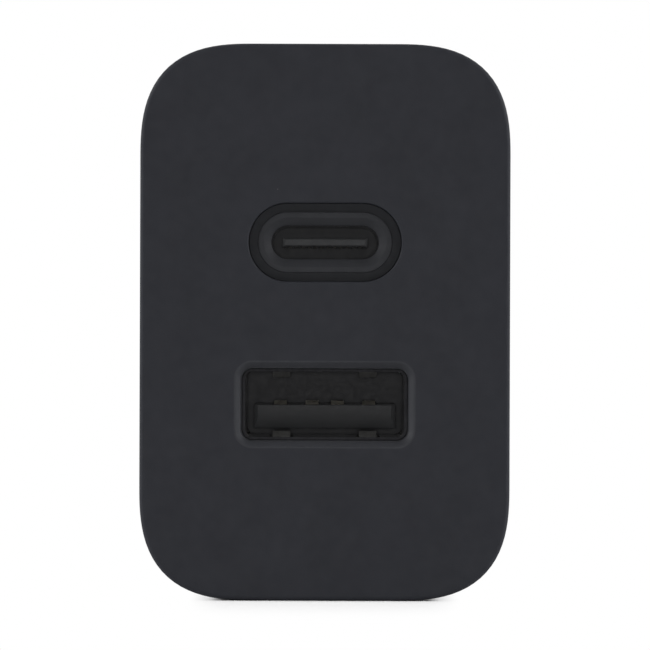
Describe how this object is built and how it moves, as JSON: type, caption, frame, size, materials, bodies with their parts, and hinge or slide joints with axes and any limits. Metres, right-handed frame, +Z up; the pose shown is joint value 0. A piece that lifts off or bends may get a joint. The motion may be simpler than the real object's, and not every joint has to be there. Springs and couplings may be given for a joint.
{
  "type": "usb wall charger",
  "caption": "Dark rounded box-shaped plug-in charger with a USB-C and a USB-A socket in its front face and mains blades that fold flat into its back.",
  "frame": {"origin": "middle of the flat bottom face of the body, which it stands on", "axes": "+Z up along the long side of the port face, -Y out of the port face, +Y out of the wall face, +X to the right seen from the front"},
  "size_m": [0.029, 0.042, 0.0436],
  "materials": {
    "housing_plastic": "fine matt moulded charcoal",
    "socket_plastic": "smooth black moulding",
    "socket_steel": "dark nickel plate",
    "contact_metal": "gold flash on copper alloy",
    "blade_metal": "nickel plate",
    "screw_steel": "zinc plate",
    "board_laminate": "green solder mask",
    "insulation": "thin insulating sheet",
    "ferrite": "sintered ferrite",
    "bobbin_plastic": "black moulding",
    "winding": "polyester tape over the winding",
    "enamelled_wire": "enamelled copper wire",
    "pin_metal": "tinned",
    "capacitor_sleeve": "shrink sleeve over a can",
    "capacitor_can": "bare can",
    "film_case": "moulded case",
    "disc_coating": "dipped coating",
    "fuse_case": "ceramic tube",
    "chip_resin": "moulded resin"
  },
  "bodies": {
    "charger_body": {"front_housing": "housing_plastic", "rear_cover": "housing_plastic", "usb_c_collar": "housing_plastic", "usb_c_shell": "socket_steel", "usb_c_tongue": "socket_plastic", "usb_c_contacts": "contact_metal", "usb_a_shell": "socket_steel", "usb_a_tongue": "socket_plastic", "usb_a_contacts": "contact_metal", "bearing_cap": "bobbin_plastic", "bearing_cap_screws": "screw_steel", "contact_spring_left": "contact_metal", "contact_spring_right": "contact_metal", "insulation_sheet": "insulation", "port_board": "board_laminate", "main_board": "board_laminate", "board_link_pins": "contact_metal", "transformer_core_front": "ferrite", "transformer_core_rear": "ferrite", "transformer_bobbin": "bobbin_plastic", "transformer_winding": "winding", "transformer_pins": "pin_metal", "bulk_capacitor_upper": "capacitor_sleeve", "bulk_capacitor_lower": "capacitor_sleeve", "output_capacitor_left": "capacitor_can", "output_capacitor_right": "capacitor_can", "line_filter_capacitor": "film_case", "bridging_capacitor": "disc_coating", "choke_core": "ferrite", "choke_winding": "enamelled_wire", "fuse": "fuse_case", "bridge_rectifier": "chip_resin", "primary_controller": "chip_resin", "optocoupler": "chip_resin", "port_controller": "chip_resin", "sync_rectifier": "chip_resin"},
    "folding_plug": {"blade_rotor": "housing_plastic", "blade_left": "blade_metal", "blade_right": "blade_metal"}
  },
  "joints": [
    {"name": "blade_fold", "type": "hinge", "parent": "charger_body", "child": "folding_plug", "pos_m": [0, 0.0171, 0.031], "axis": [1, 0, 0], "range_deg": [0, 90]}
  ]
}
